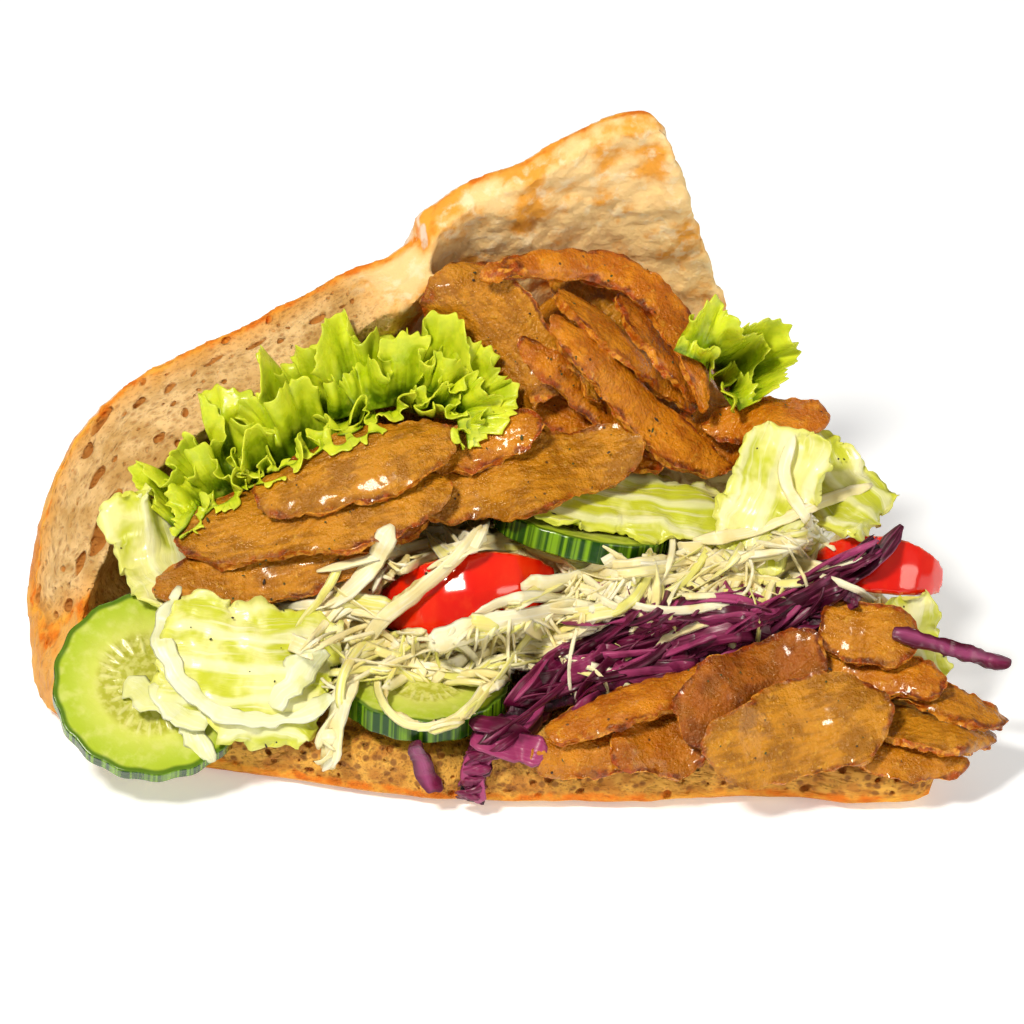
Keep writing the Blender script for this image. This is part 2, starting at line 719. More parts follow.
# Thin pieces: slices of meat and leaves

RIM_ANGLE = radians(50)
RIM_CREASE = 1.0
CUT_ANGLE = radians(42)
MEAT_RIM = 1.3
MEAT_THINNED = 0.3
LEAF_RIM = 2.2
FLAT_ANGLES = (radians(35), radians(60))
# How each slice of meat is done: 0 golden, 1 orange, 2 dark.
MEAT_TONES = {
    "meat_left_long": 0.2, "meat_left_scrap": 0.8, "meat_left_strip": 1.2, "meat_left_top": 0.1,
    "meat_left_under": 0.5, "meat_lower_chip": 0.7, "meat_lower_crumbly": 0.6, "meat_lower_dark": 1.7,
    "meat_lower_edge": 0.6, "meat_lower_flat": 0.8, "meat_lower_front": 0.3, "meat_lower_red": 1.5,
    "meat_lower_slim": 0.9, "meat_pile_arch": 1.0, "meat_pile_edge": 1.2, "meat_pile_hump": 0.5,
    "meat_pile_inner": 1.5, "meat_pile_long": 0.9, "meat_pile_low": 1.2, "meat_pile_pale": 0.2,
    "meat_pile_top": 0.8, "meat_right_flat": 0.9, "meat_right_tip": 1.0, "meat_upper_small": 0.7,
    "meat_upper_wide": 0.4,
}
# How green each leaf of iceberg lettuce is.
ICEBERG_TONES = {
    "iceberg_cup": 0.35, "iceberg_edge": 0.5, "iceberg_front": 0.45, "iceberg_left": 0.35,
    "iceberg_long": 0.6, "iceberg_rear": 0.5,
}


def rim_faces(bm):
    """The narrow faces round a thin solid: all but its two broad sides."""
    seen, groups = set(), []
    for start in bm.faces:
        if start in seen:
            continue
        group, todo = {start}, [start]
        while todo:
            face = todo.pop()
            for edge in face.edges:
                if edge.calc_face_angle(0) < RIM_ANGLE:
                    for other in edge.link_faces:
                        if other not in group:
                            group.add(other)
                            todo.append(other)
        seen |= group
        groups.append(group)
    groups.sort(key=lambda group: sum((f.normal * f.calc_area() for f in group), Vector()).length)
    return {face for group in groups[:-2] for face in group}


def fine_sheet(node, name, levels=3):
    """A finely divided copy of a thin solid with a crisp outline, and a tree of its rim."""
    bm = solid_of(node)
    rim = rim_faces(bm)
    corners = [[v.co.copy() for v in face.verts] for face in bm.faces if face in rim]
    points = [point for face in corners for point in face]
    faces = [[3 * k, 3 * k + 1, 3 * k + 2] for k in range(len(corners))]
    tree = BVHTree.FromPolygons(points, faces)
    crease = bm.edges.layers.float.get("crease_edge") or bm.edges.layers.float.new("crease_edge")
    for edge in bm.edges:
        if len({face in rim for face in edge.link_faces}) == 2:
            edge[crease] = RIM_CREASE
    bmesh.ops.join_triangles(
        bm, faces=bm.faces, angle_face_threshold=FLAT_ANGLES[0], angle_shape_threshold=FLAT_ANGLES[1]
    )
    obj = add_mesh(name, bm)
    return divide(obj, levels), tree


def local_axes(points):
    """Places on a thin piece, in mm: along it, across it, and through it."""
    centred = points - points.mean(axis=0)
    axes = np.linalg.svd(centred[:: max(1, len(points) // 800)], full_matrices=False)[2]
    return centred @ axes.T / MM


def make_slice(node, look, seed, tone):
    """A slice of meat: thin at its torn, seared edges, with lean streaks along it."""
    obj, rim = fine_sheet(node, node + "_seared")
    points = points_of(obj)
    edge = distances(points, rim)
    near = np.exp(-edge / MEAT_RIM)[:, None]
    grain = local_axes(points)
    points -= normals_of(obj) * near * MEAT_THINNED * MM
    points += drift(points, 14, seed) * 1.4 * MM
    points += drift(points, 4.0, seed) * near * 1.1 * MM
    points += drift(points, 1.4, seed) * near * 0.5 * MM
    move_points(obj, points)
    fibres = grain * np.array([1 / 6.0, 1 / 1.1, 1 / 2.0]) * MM
    rise = 0.2 * lumps(fibres, 1.0, seed) + 0.1 * lumps(points, 3.2, seed + 3)
    rise += 0.14 * lumps(points, 1.1, seed)
    push_out(obj, rise)
    paint(obj, edge=edge, grain=grain + seed * 31.0, tone=tone)
    finish_piece(obj, look, "meat", node)
    obj.data.set_sharp_from_angle(angle=CUT_ANGLE)


def make_leaf(node, look, slot, seed, crinkle=1.1, ribs=7.0, tone=0.5):
    """A piece of leaf: crinkled between its ribs, with a ragged thin rim."""
    obj, rim = fine_sheet(node, node + "_leaf")
    points = points_of(obj)
    edge = distances(points, rim)
    near = np.exp(-edge / LEAF_RIM)[:, None]
    grain = local_axes(points)
    bent = grain[:, 1] + 3.0 * lumps(grain * MM, 18, seed)
    ridge = np.exp(-((np.mod(bent + ribs / 2, ribs) - ribs / 2) / 1.5) ** 2)
    moved = points + drift(points, 8, seed) * crinkle * MM
    moved += drift(points, 4.0, seed) * (0.25 + near) * 1.5 * crinkle * MM
    moved += drift(points, 1.6, seed) * near * 0.9 * crinkle * MM
    move_points(obj, moved)
    rise = 0.5 * ridge + 0.45 * lumps(points, 3.0, seed + 2)
    move_points(obj, points_of(obj) + OUT * rise[:, None] * crinkle * MM)
    paint(obj, edge=edge, ridge=ridge, tone=tone, grain=grain + seed * 31.0)
    return finish_piece(obj, look, slot, node)


# Curly leaves

# The line of the foot (across, up) and the height of the leaf.
CURLY = {
    "curly_left": ([(-64, 24), (-55, 32), (-43, 37)], 20),
    "curly_middle": ([(-52, 35), (-38, 41), (-24, 46)], 21),
    "curly_top": ([(-34, 47), (-20, 50), (-8, 48)], 22),
    "curly_tip": ([(-17, 54), (-9, 50), (-6, 41)], 12),
    "curly_right": ([(35, 62), (43, 58), (48, 49)], 17),
}
LEAF_GRID = (170, 11)
LEAF_THICK = 0.4
LEAF_ROUNDS = 420
# The sheets of each leaf: how far their foot lies out and up, how they tip out, how tall they are for
# the leaf, how much longer their edge has grown than their foot, and their tone.
SHEETS = [
    dict(out=-0.5, up=0.5, tilt=6, height=1.0, growth=3.4, tone=0.4),
    dict(out=1.0, up=-0.5, tilt=38, height=0.8, growth=3.2, tone=0.7),
    dict(out=2.0, up=-1.5, tilt=70, height=0.5, growth=2.8, tone=1.0),
]
# The growth rises with this power of the height, and the first waves are this long and high in mm.
GROWTH_POWER = 2.0
WAVE_LONG = 6.5
WAVE_HIGH = 4.5
# Points that lie so many columns apart don't come nearer than this share of their right distance.
STIFF_OVER = (5, 11)
STIFFNESS = 0.55
SMOOTHING = (0.05, 0.06)
# The leaf is lifted off what lies below it once in so many rounds, from this row on, by this much.
LIFT_EVERY = 70
LIFT_FROM = 3
LIFT_OVER = 0.5
TOOTH_WIDE = 3.4
NO_LENGTH = 1e-9


def pull(points, near, far, rest, share=0.24, only_short=False):
    """Moves pairs of points along the line between them, towards their right distance."""
    gap = points[far] - points[near]
    length = np.linalg.norm(gap, axis=-1, keepdims=True) + NO_LENGTH
    move = gap * (1 - rest / length) * share
    if only_short:
        move = np.minimum(length - rest, 0) / length * gap * share
    points[near] += move
    points[far] -= move


def buckle(points, rest_along, rest_up, ground):
    """Lets a sheet find its folds: its points move to their right distances, and its foot stays."""
    every, first, last = slice(None), slice(None, -1), slice(1, None)
    rest_cross = np.sqrt(rest_along[:-1, :-1] ** 2 + rest_up[:-1] ** 2)
    foot = points[:, 0].copy()
    for turn in range(LEAF_ROUNDS):
        pull(points, (first, every), (last, every), rest_along[:-1])
        pull(points, (every, first), (every, last), rest_up)
        pull(points, (first, first), (last, last), rest_cross, 0.12)
        pull(points, (last, first), (first, last), rest_cross, 0.12)
        for over in STIFF_OVER:
            shortest = rest_along[:-over] * over * STIFFNESS
            pull(points, (slice(None, -over), every), (slice(over, None), every), shortest, 0.2, True)
        points[1:-1] += SMOOTHING[0] * ((points[:-2] + points[2:]) / 2 - points[1:-1])
        points[:, 1:-1] += SMOOTHING[1] * ((points[:, :-2] + points[:, 2:]) / 2 - points[:, 1:-1])
        points[:, 0] = foot
        if turn % LIFT_EVERY == LIFT_EVERY - 1:
            floor = ground.heights(points[:, LIFT_FROM:, :2])
            floor = np.where(np.isfinite(floor), floor + LIFT_OVER, -np.inf)
            points[:, LIFT_FROM:, 2] = np.maximum(points[:, LIFT_FROM:, 2], floor)


def draw_teeth(points, seed):
    """Draws the edge of a sheet out into uneven teeth."""
    rim = points[:, -1] - points[:, -2]
    rim /= lengths(rim)[:, None] + NO_LENGTH
    walked = np.concatenate([[0], np.cumsum(lengths(np.diff(points[:, -1], axis=0)))])
    teeth = walked / TOOTH_WIDE + 0.9 * wander(walked / 4.0, seed + 6)
    teeth = (1 - np.abs(2 * np.mod(teeth, 1) - 1)) ** 1.5 * (1.7 + 1.5 * wander(walked / 5.0, seed + 7))
    points[:, -1] += rim * teeth[:, None]
    points[:, -2] += rim * 0.35 * teeth[:, None]


def grow_leaf(foot, height, ground, leaf, sheet, seed):
    """Points of a sheet whose edge has grown too long for it, and which buckles into ruffles."""
    columns, rows = LEAF_GRID
    line = smooth_line(foot, columns + 1)
    along = directions(line)
    side = np.stack([-along[:, 1], along[:, 0]], axis=1)
    step = lengths(np.diff(line, axis=0)).mean()
    walked = np.arange(columns + 1) * step
    share = np.linspace(0, 1, rows + 1)[None, :]
    ends = np.sin(pi * np.clip(walked / walked[-1], 0.06, 0.94)) ** 0.5
    lobes = 0.85 + 0.8 * wander(walked / 4.0, seed) + 0.5 * wander(walked / 1.6, seed + 5)
    tall = height * sheet["height"] * ends * np.clip(lobes, 0.45, 1.1)
    tilt = radians(sheet["tilt"])
    reach = sheet["up"] + (tall * math.cos(tilt))[:, None] * share
    foot_out = filled(leaf.heights(line + side * 1.5)) + sheet["out"]
    points = np.zeros((columns + 1, rows + 1, 3))
    points[:, :, :2] = line[:, None] + side[:, None] * reach[:, :, None]
    points[:, :, 2] = foot_out[:, None] + (tall * math.sin(tilt))[:, None] * share
    turns = walked / WAVE_LONG * 2 * pi + 6.0 * wander(walked / 6.0, seed + 1) + seed
    high = WAVE_HIGH * (1 + 1.0 * wander(walked / 4.0, seed + 2))
    wave = ((np.sin(turns) * high)[:, None] * share**1.5)[:, :, None]
    lean = np.concatenate([-side * math.sin(tilt), np.full((columns + 1, 1), math.cos(tilt))], axis=1)
    points += wave * lean[:, None, :]
    inner = np.clip(np.minimum(walked, walked[-1] - walked) / 5.0, 0.1, 1)
    inner = inner * (1 + 0.9 * wander(walked / 4.0, seed + 3))
    rest_along = (step * (1 + sheet["growth"] * inner[:, None] * share**GROWTH_POWER))[:, :, None]
    rest_up = np.repeat((tall / rows)[:, None, None], rows, axis=1)
    buckle(points, rest_along, rest_up, ground)
    draw_teeth(points, seed)
    return points, np.broadcast_to(share, points.shape[:2])


def make_curly(node, look, ground, seed):
    foot, height = CURLY[node]
    leaf = Ground([node])
    points, faces, heights, tones = [], [], [], []
    for number, sheet in enumerate(SHEETS):
        grid, share = grow_leaf(foot, height, ground, leaf, sheet, seed + 20 * number)
        faces += grid_faces(*grid.shape[:2], start=len(points))
        points += metres(grid).reshape(-1, 3).tolist()
        heights += share.ravel().tolist()
        tones += [sheet["tone"]] * share.size
    obj = add_faces(node + "_ruffles", points, faces)
    paint(obj, height=heights, tone=tones)
    body = obj.modifiers.new("thickness", "SOLIDIFY")
    body.thickness = LEAF_THICK * MM
    body.offset = 0
    divide(obj, 1)
    return finish_piece(obj, look, "curly_lettuce", node)


# Cut cabbage

STRIP_STEP = 1.0
TUCK_UNDER = 2.4
TUCK = 4.0
TRIES = 4
BROAD = 2.6
CORNERS = (6, 10)
STREWN_RAGGED = 0.15
NO_CABBAGE = ("tomato_left", "tomato_right", "cucumber_right", "cucumber_left")
CUCUMBER_CLEAR_BELOW = -5.0


def off_the_slices(owner, up):
    """Whether a place has to stay free of cabbage."""
    if owner == "cucumber_middle":
        return up < CUCUMBER_CLEAR_BELOW
    return owner in NO_CABBAGE


def strip_path(base, everything, start, heading, bend, length, lift):
    """Points (across, up, out) of a strip that lies on a heap and tucks under what covers that."""
    halves = []
    for sense in (1, -1):
        spot, angle, walked, covered = np.array(start, float), heading, 0.0, 0.0
        half = []
        while walked < length / 2:
            level, owner = base.top(*spot)
            if level is None or off_the_slices(owner, spot[1]):
                break
            if everything.top(*spot)[0] - level > TUCK_UNDER:
                covered += STRIP_STEP
                if covered > TUCK:
                    break
            half.append((*spot, level))
            spot = spot + sense * STRIP_STEP * np.array([math.cos(angle), math.sin(angle)])
            angle += sense * bend * STRIP_STEP
            walked += STRIP_STEP
        halves.append(half)
    path = halves[1][::-1] + halves[0][1:]
    if len(path) < 5:
        return None
    return arched(np.array(path), lift)


def arched(path, lift, sink=0.3):
    """A strip's path lifted over the dips below it, and more in its middle than at its ends."""
    for _ in range(6):
        around = (path[:-2, 2] + path[2:, 2]) / 2
        path[1:-1, 2] = np.maximum(path[1:-1, 2], around - 0.1)
    share = np.linspace(0, 1, len(path))
    path[:, 2] += lift * np.sin(pi * share) ** 0.7 - sink
    return path


def laid_path(everything, line, lift):
    """The path of a strip that lies over whatever is below its line."""
    length = lengths(np.diff(np.array(line, float), axis=0)).sum()
    spots = smooth_line(line, max(6, int(length / STRIP_STEP)))
    out = filled(everything.heights(spots))
    return arched(np.column_stack([spots, out + 0.3]), lift, 0.0)


class Strips:
    """Many strips gathered in one mesh."""

    def __init__(self):
        self.points, self.faces, self.tones, self.grains, self.sides = [], [], [], [], []

    def add(self, path, width, thick, twist, camber, tone, ragged, seed):
        """Adds a tapering strip with soft edges that twists along its path and is cambered across."""
        centre = metres(path)
        count = len(path)
        along = directions(centre)
        side = np.cross(OUT, along)
        side /= lengths(side)[:, None] + TINY
        facing = np.cross(along, side)
        share = np.linspace(0, 1, count)
        turn = (twist * np.sin(2.6 * share + seed))[:, None]
        across = side * np.cos(turn) + facing * np.sin(turn)
        through = facing * np.cos(turn) - side * np.sin(turn)
        ends = np.minimum(1.0, 0.3 + 7 * np.minimum(share, 1 - share))
        corners = CORNERS[0] if width < BROAD else CORNERS[1]
        start = len(self.points)
        self.faces += grid_faces(count, corners, start, closed=True)
        self.faces.append(tuple(start + m for m in reversed(range(corners))))
        self.faces.append(tuple(start + (count - 1) * corners + m for m in range(corners)))
        margins = [1 + ragged * wander(share * count / 2.5, seed * 2.3 + m) for m in (0, 7)]
        rows = np.zeros((count, corners, 3))
        turns = [2 * pi * m / corners for m in range(corners)]
        for m, angle in enumerate(turns):
            u, v = math.cos(angle), math.sin(angle)
            reach = (u * width / 2 * ends * margins[0 if u > 0 else 1])[:, None]
            lift = (v * thick / 2 + camber * width * (0.5 - u * u) * ends)[:, None]
            rows[:, m] = centre + (across * reach + through * lift) * MM
        self.points += rows.reshape(-1, 3).tolist()
        lines = [(math.cos(angle) * width / 2 + seed * 13, seed * 7) for angle in turns]
        self.grains += [(k * STRIP_STEP, *line) for k in range(count) for line in lines]
        self.sides += [abs(math.cos(angle)) for angle in turns] * count
        self.tones += [tone] * (count * corners)

    def strew(self, count, spots, base, everything, sizes, seed):
        """Adds strips at random spots, with sizes drawn between the given ones."""
        made = 0
        for trial in range(count * TRIES):
            spot = spots[draw.integers(len(spots))] + draw.uniform(-0.8, 0.8, 2)
            width, length, lift, thick, camber = (
                draw.uniform(*sizes[key]) for key in ("width", "length", "lift", "thick", "camber")
            )
            heading, bend = radians(draw.normal(*sizes["heading"])), draw.normal(0, sizes["bend"])
            twist, tone = draw.normal(0, sizes["twist"]), draw.random()
            path = strip_path(base, everything, spot, heading, bend, length, lift)
            if path is None:
                continue
            self.add(path, width, thick, twist, camber, tone, STREWN_RAGGED, seed + trial * 0.37)
            made += 1
            if made >= count:
                break

    def finish(self, name, look, slot):
        obj = add_faces(name, self.points, self.faces)
        paint(obj, tone=self.tones, side=self.sides, grain=self.grains)
        return finish_piece(obj, look, slot)


# The strips that stand out: width, lift, camber, tone, and the spots (across, up) that they pass.
WHITE_STRIPS = [
    (3.4, 1.2, 0.18, 0.45, [(-3, 26), (-8, 20), (-16, 13), (-24, 6.5), (-27, 2)]),
    (2.4, 1.5, 0.15, 0.40, [(-36, 17), (-24, 20), (-10, 23.5), (-1, 26)]),
    (4.6, 0.5, 0.25, 0.35, [(-26, 4), (-29.5, -4), (-32, -12), (-33, -21)]),
    (5.5, 1.0, 0.20, 0.25, [(-15, 2.5), (-4, 6), (6, 8), (17, 9.5)]),
    (2.2, 0.8, 0.10, 0.75, [(-17, 4), (-24, -5), (-19, -12), (-10, -12), (-4, -7), (-1, 0)]),
    (1.8, 0.8, 0.10, 0.90, [(-40, 6), (-35, 12), (-31, 19)]),
    (2.6, 1.5, 0.12, 0.30, [(58, 44), (56, 36), (60, 28), (66, 21)]),
    (3.2, 0.8, 0.20, 0.35, [(18, 17), (30, 14), (42, 15), (52, 19)]),
    (3.0, 0.8, 0.18, 0.45, [(38, 23), (50, 25), (62, 30), (74, 34)]),
    (4.5, 0.8, 0.22, 0.30, [(-35, 10), (-27, 16), (-21, 26)]),
    (3.6, 0.6, 0.22, 0.60, [(17, 4), (21, 10), (24, 16)]),
    (5.0, 0.6, 0.25, 0.20, [(-22, -1), (-12, -3), (-4, 1), (0, 5)]),
    (4.2, 0.6, 0.22, 0.20, [(4, 14), (14, 15), (24, 20)]),
    (2.2, 1.8, 0.10, 0.20, [(12, 19), (24, 11), (38, 9.5), (50, 13)]),
    (1.7, 2.0, 0.10, 0.60, [(20, 22), (30, 16), (44, 18), (56, 24)]),
    (2.4, 1.6, 0.10, 0.10, [(-6, 8), (4, 12), (14, 11), (24, 8)]),
]
RED_STRIPS = [
    (5.2, 1.0, 0.12, 0.55, [(28, 12), (20, 5.5), (10, -2), (1, -10)]),
    (3.4, 0.8, 0.15, 0.30, [(20, 4), (36, 10), (52, 9), (62, 15), (75, 21)]),
    (4.0, 0.8, 0.15, 0.15, [(52, 8), (62, 13), (72, 18), (79, 26)]),
    (7.0, 0.6, 0.10, 0.85, [(-5, -14), (1, -16.5), (9, -18)]),
    (4.0, 1.6, 0.20, 0.60, [(-6, -12), (0, -13), (6, -16)]),
    (4.5, 0.8, 0.25, 0.90, [(-3, -17), (-5.5, -22), (-4.5, -28)]),
    (3.0, 0.8, 0.12, 0.20, [(10, -5), (24, 1), (38, 5)]),
    (2.6, 0.6, 0.12, 0.75, [(14, -10), (26, -4), (38, -1)]),
    (3.2, 0.8, 0.12, 0.40, [(26, 3), (38, 6.5), (50, 11)]),
]
ICEBERG_STRIPS = [
    (3.8, 0.8, 0.20, 0.10, [(-63, 14), (-66, 5), (-62, -4), (-52, -11), (-40, -11), (-30, -6)]),
    (6.5, 0.4, 0.10, 0.45, [(-73, -4), (-65, -9), (-57, -13)]),
    (5.5, 0.4, 0.10, 0.35, [(-68, -5), (-61, -12), (-56, -20)]),
    (6.0, 1.0, 0.10, 0.25, [(-45, -9), (-40, -4), (-35, 2)]),
]
WIDE = dict(width=(2.6, 4.6), length=(10, 22), bend=0.05, lift=(0.2, 2.4), thick=(0.3, 0.45), twist=0.7,
            camber=(-0.1, 0.2), heading=(12, 26))
SLIM = dict(width=(1.2, 2.4), length=(14, 36), bend=0.045, lift=(0.3, 3.0), thick=(0.3, 0.45), twist=0.9,
            camber=(0.0, 0.15), heading=(12, 34))
THREADS = dict(width=(0.5, 0.9), length=(8, 24), bend=0.09, lift=(0.5, 3.4), thick=(0.3, 0.45), twist=0.5,
               camber=(0.0, 0.1), heading=(15, 50))
RED_HEADING = (24, 14)


SPOT_STEP = 1.6
# How many wide and slim strips and threads lie in each heap.
WHITE_COUNTS = (40, 190, 110)
RED_COUNTS = (24, 75, 45)
NAMED_THICK = 0.4
NAMED_TWIST = 0.7
CAMBER_SHARE = 0.4
CORE_VOXEL = 0.8
CORE_SMOOTHING = 2


def add_named(strips, table, everything, seed, ragged=0.2):
    for number, (width, lift, camber, tone, line) in enumerate(table):
        path = laid_path(everything, line, lift)
        strips.add(path, width, NAMED_THICK, NAMED_TWIST, camber * CAMBER_SHARE, tone, ragged,
                   seed + number * 0.71)


def make_cabbage(base, everything, white, red, iceberg):
    strips = Strips()
    spots = everything.spots(("white_cabbage", "cabbage_fold", "cucumber_middle"), SPOT_STEP)
    for number, (count, sizes) in enumerate(zip(WHITE_COUNTS, (WIDE, SLIM, THREADS))):
        strips.strew(count, spots, base, everything, sizes, 1 + number)
    add_named(strips, WHITE_STRIPS, everything, 4)
    strips.finish("white_cabbage_strips", white, "white_cabbage")
    strips = Strips()
    spots = everything.spots(("red_cabbage",), SPOT_STEP)
    for number, (count, sizes) in enumerate(zip(RED_COUNTS, (WIDE, SLIM, THREADS))):
        strips.strew(count, spots, base, everything, dict(sizes, heading=RED_HEADING), 5 + number)
    add_named(strips, RED_STRIPS, everything, 8)
    strips.finish("red_cabbage_strips", red, "red_cabbage")
    strips = Strips()
    add_named(strips, ICEBERG_STRIPS, everything, 9, 0.7)
    strips.finish("iceberg_torn_ribs", iceberg, "iceberg")


def make_core(node, name, look, slot):
    """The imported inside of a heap: its own form with creases like those of cut leaves."""
    obj = even_copy(node, name, CORE_VOXEL, CORE_SMOOTHING)
    points = points_of(obj)
    rise = 0.5 * lumps(points, 3.5, 5) + 0.35 * lumps(points, 1.6, 6) - 0.35
    push_out(obj, rise)
    paint(obj, edge=9.0, tone=0.6, grain=points / MM)
    return finish_piece(obj, look, slot, node)


# Cucumber and tomato

FACE_RINGS = [*np.linspace(0, 0.9, 22), 0.93, 0.955, 0.975, 0.988]
RIND_LEVELS = [0.93, 0.75, 0.5, 0.2, -0.2, -0.5, -0.75, -0.93]
AROUND = 150
SEED_RING = 0.45
SEED_COUNT = 24
RIDGES = 17
CENTRE_POINT = 1e-5


def make_cucumber(node, look, seed):
    """A round slice: a crown of seeds sunk in its middle, and a ridged rind."""
    cage = solid_of(node)
    cad = np.array([v.co for v in cage.verts])
    cage.free()
    centre = cad.mean(axis=0)
    axes = np.linalg.svd(cad - centre, full_matrices=False)[2]
    local = (cad - centre) @ axes.T
    radius, half = lengths(local[:, :2]).max(), np.abs(local[:, 2]).max()
    ring = np.array([*FACE_RINGS, *[1.0] * len(RIND_LEVELS), *FACE_RINGS[::-1]])
    level = np.array([*[1.0] * len(FACE_RINGS), *RIND_LEVELS, *[-1.0] * len(FACE_RINGS)])
    turns = np.linspace(0, 2 * pi, AROUND, endpoint=False)
    r, angle = np.meshgrid(ring, turns, indexing="ij")
    level = np.repeat(level[:, None], AROUND, axis=1)
    x, y = np.cos(angle), np.sin(angle)
    lobe = SEED_RING + 0.06 * np.cos(3 * angle + seed)
    seeds = np.clip(np.cos(SEED_COUNT * angle + 2 * np.sin(3 * angle + seed)), 0, 1) ** 2
    seeds = seeds * np.exp(-((r - lobe) / 0.085) ** 2)
    flat = np.abs(level) == 1
    sunk = 0.45 * np.exp(-((r - lobe) / 0.14) ** 2) - 0.5 * seeds
    uneven = lumps(np.stack([r * x, r * y, level * 0 + seed], axis=-1).reshape(-1, 3), 130, seed)
    sunk = sunk + 0.15 * uneven.reshape(r.shape)
    grow = r * radius * (1 + 0.012 * np.cos(RIDGES * angle + seed) * (r > 0.9))
    z = level * half - np.sign(level) * sunk * flat * MM
    points = centre + (grow * x)[..., None] * axes[0] + (grow * y)[..., None] * axes[1]
    points = points + z[..., None] * axes[2]
    obj = add_faces(node + "_slice", points.reshape(-1, 3), grid_faces(len(ring), AROUND, closed=True))
    disc = np.stack([r * x, r * y, r * 0], axis=-1).reshape(-1, 3) * radius / MM
    paint(obj, share=r.ravel(), seed=(seeds * flat).ravel(), side=~flat.ravel(), disc=disc + seed * 20)
    bm = bmesh.new()
    bm.from_mesh(obj.data)
    bmesh.ops.remove_doubles(bm, verts=bm.verts, dist=CENTRE_POINT)
    bmesh.ops.recalc_face_normals(bm, faces=bm.faces)
    bm.to_mesh(obj.data)
    bm.free()
    return finish_piece(obj, look, "cucumber", node)


CUT_AREA = 0.6e-4
TOMATO_VOXEL = 0.7
TOMATO_SMOOTHING = 6
SAME_WAY = 0.9999
CUT_REACH = 0.6


def make_tomato(node, look):
    """A wedge of tomato: round glossy skin, and flesh on the cut sides."""
    obj = even_copy(node, node + "_wedge", TOMATO_VOXEL, TOMATO_SMOOTHING)
    bm = solid_of(node)
    skin = []
    for face in bm.faces:
        flat = sum(other.calc_area() for other in bm.faces if other.normal.dot(face.normal) > SAME_WAY)
        if flat < CUT_AREA:
            skin.append(face)
    bmesh.ops.delete(bm, geom=skin, context="FACES")
    cut = BVHTree.FromBMesh(bm)
    bm.free()
    points = points_of(obj)
    push_out(obj, 0.12 * lumps(points, 6, 9))
    paint(obj, cut=distances(points, cut) < CUT_REACH)
    return finish_piece(obj, look, "tomato", node)


# Seasoning

FLAKES = 150
FLAKE_SIZE = (0.14, 0.32)


def make_seasoning(everything, look, wanted):
    """Flakes of pepper and dried herbs that lie on the filling."""
    spots = everything.spots(wanted, 2.3)
    bm = bmesh.new()
    tones = []
    for _ in range(FLAKES):
        across, up = spots[draw.integers(len(spots))] + draw.uniform(-1.1, 1.1, 2)
        hit, normal, _ = cast_in(everything.tree, across, up)
        if hit is None:
            continue
        size = draw.uniform(*FLAKE_SIZE)
        longer = draw.uniform(1.0, 3.2) if draw.random() < 0.3 else draw.uniform(0.8, 1.4)
        turned = normal.to_track_quat("Z", "Y").to_matrix().to_4x4()
        spin = Matrix.Rotation(draw.uniform(0, 2 * pi), 4, "Z")
        shape = Matrix.Diagonal((size * longer, size, size * 0.5, 1 / MM)) * MM
        place = Matrix.Translation(hit + normal * 0.2 * MM)
        before = len(bm.verts)
        bmesh.ops.create_icosphere(bm, subdivisions=1, radius=1.0, matrix=place @ turned @ spin @ shape)
        tones += [draw.random()] * (len(bm.verts) - before)
    obj = add_mesh("seasoning_flakes", bm)
    paint(obj, tone=tones)
    return finish_piece(obj, look, "meat")


# Camera, light and floor

FOCUS = (2.3, 28.6, 35)
CAMERA_AWAY = 1.1
LENS = 195.0
FLOOR_BELOW = 0.0004
FLOOR_GLOW = 0.32
FLOOR_COLOUR = (0.86, 0.91, 1.0)
WORLD_LIGHT = 0.2
WORLD_TINT = (1.0, 0.96, 0.90)
LIGHT_TINT = (1.0, 0.93, 0.80)
# Place, power in watts and size in metres.
LIGHTS = {
    "key": ((-0.4, -0.6, 0.95), 12.5, 0.2),
    "fill": ((1.1, -0.65, 0.5), 5.5, 0.7),
    "back": ((-0.2, 0.9, 0.9), 2.5, 0.6),
}


def make_camera():
    camera = put("camera", bpy.data.cameras.new("camera"))
    camera.data.lens = LENS
    camera.data.clip_start = 0.01
    camera.location = Vector(metres(FOCUS)) + Vector(OUT) * CAMERA_AWAY
    camera.rotation_euler = Vector(-OUT).to_track_quat("-Z", "Y").to_euler()
    bpy.context.scene.camera = camera


def make_studio():
    floor_look = Look("pale_floor", 0.9, specular=0.1)
    floor_look.set("Emission Color", (1, 1, 1, 1))
    floor_look.set("Emission Strength", FLOOR_GLOW)
    bm = bmesh.new()
    bmesh.ops.create_grid(bm, x_segments=1, y_segments=1, size=3)
    floor = add_mesh("floor", bm)
    floor.location.z = -FLOOR_BELOW
    floor.data.materials.append(floor_look.wear(FLOOR_COLOUR))
    aim = Vector(metres(FOCUS))
    for name, (place, power, size) in LIGHTS.items():
        light = bpy.data.lights.new(name, "AREA")
        light.energy = power
        light.shape = "DISK"
        light.size = size
        light.color = LIGHT_TINT
        obj = put(name, light)
        obj.location = place
        obj.rotation_euler = (aim - Vector(place)).to_track_quat("-Z", "Y").to_euler()
    world = bpy.data.worlds.new("studio")
    world.use_nodes = True
    background = world.node_tree.nodes["Background"]
    background.inputs["Color"].default_value = (*WORLD_TINT, 1)
    background.inputs["Strength"].default_value = WORLD_LIGHT
    bpy.context.scene.world = world
    bpy.context.scene.view_settings.view_transform = "Standard"


def named_like(*starts):
    return sorted(n for n in nodes if n.startswith(starts))


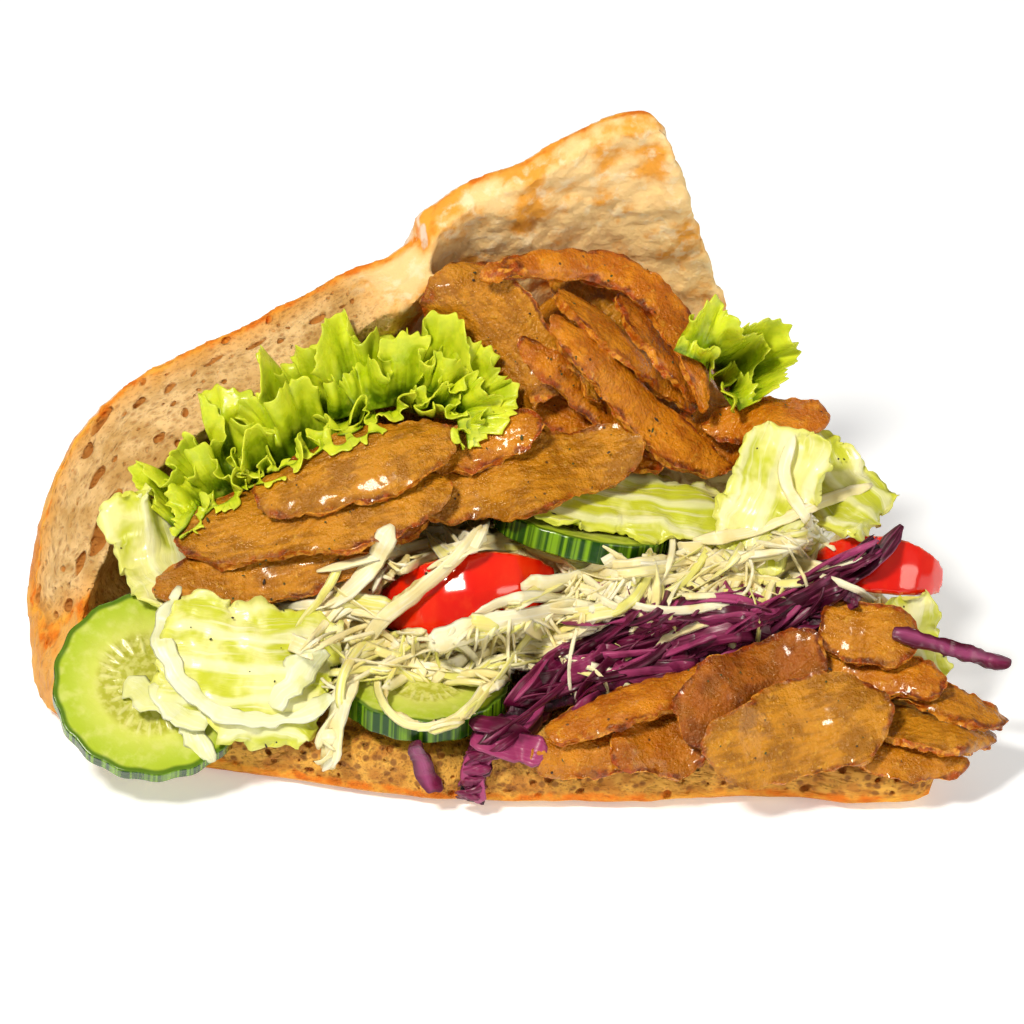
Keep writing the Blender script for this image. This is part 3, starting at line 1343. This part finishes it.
def main():
    make_camera()
    make_studio()
    make_bread(bread_look())
    meat, curly, cucumber, tomato = meat_look(), curly_look(), cucumber_look(), tomato_look()
    iceberg = leaf_look("iceberg_leaf", (0.86, 0.84, 0.34), (0.58, 0.62, 0.035),
                        (0.94, 0.93, 0.66), (0.74, 0.76, 0.10))
    cabbage_leaf = leaf_look("cabbage_leaf", (0.78, 0.62, 0.30), (0.80, 0.56, 0.22),
                             (0.88, 0.78, 0.50), (0.85, 0.76, 0.42))
    red_leaf = leaf_look("red_leaf", (0.09, 0.002, 0.02), (0.17, 0.006, 0.05),
                         (0.42, 0.09, 0.24), (0.05, 0.001, 0.012))
    white = shred_look("white_cabbage_shreds", [(0.93, 0.88, 0.62), (0.91, 0.80, 0.42), (0.80, 0.77, 0.20)],
                       (0.95, 0.92, 0.76), 0.6, (0.82, 0.66, 0.24))
    red = shred_look("red_cabbage_shreds", [(0.045, 0.001, 0.012), (0.125, 0.003, 0.036), (0.40, 0.05, 0.17)],
                     (0.46, 0.09, 0.22), 0.35, (0.03, 0.001, 0.008))
    torn = shred_look("iceberg_ribs", [(0.84, 0.85, 0.56), (0.78, 0.80, 0.38), (0.68, 0.71, 0.16)],
                      (0.92, 0.92, 0.74), 0.5, (0.70, 0.72, 0.20))
    for seed, node in enumerate(n for n in named_like("meat_") if n != "meat_bed"):
        make_slice(node, meat, seed + 1, MEAT_TONES.get(node, (seed * 0.618) % 1.0))
    make_core("meat_bed", "meat_bed_packed", meat, "meat")
    for seed, (node, tone) in enumerate(ICEBERG_TONES.items()):
        make_leaf(node, iceberg, "iceberg", seed + 41, tone=tone)
    for seed, node in enumerate(("cabbage_fold", "cabbage_wide")):
        make_leaf(node, cabbage_leaf, "white_cabbage", seed + 51, 0.8, 9.0)
    for seed, node in enumerate(("red_cabbage_scrap", "red_cabbage_tendril")):
        make_leaf(node, red_leaf, "red_cabbage", seed + 61, 0.4)
    uncurled = Ground([n for n in sorted(nodes) if n not in CURLY])
    for seed, node in enumerate(CURLY):
        make_curly(node, curly, uncurled, seed + 1)
    for seed, node in enumerate(named_like("cucumber_")):
        make_cucumber(node, cucumber, seed)
    for node in named_like("tomato_"):
        make_tomato(node, tomato)
    base = Ground(["white_cabbage", "red_cabbage", "cabbage_wide", "cabbage_fold",
                   *named_like("tomato_", "cucumber_")])
    everything = Ground(sorted(nodes))
    make_core("white_cabbage", "white_cabbage_packed",
              packed_look("packed_white", (0.62, 0.49, 0.18), (0.92, 0.84, 0.50)), "white_cabbage")
    make_core("red_cabbage", "red_cabbage_packed",
              packed_look("packed_red", (0.020, 0.001, 0.008), (0.11, 0.006, 0.045)), "red_cabbage")
    make_cabbage(base, everything, white, red, torn)
    make_seasoning(everything, seasoning_look(), named_like("meat", "white", "iceberg"))


main()
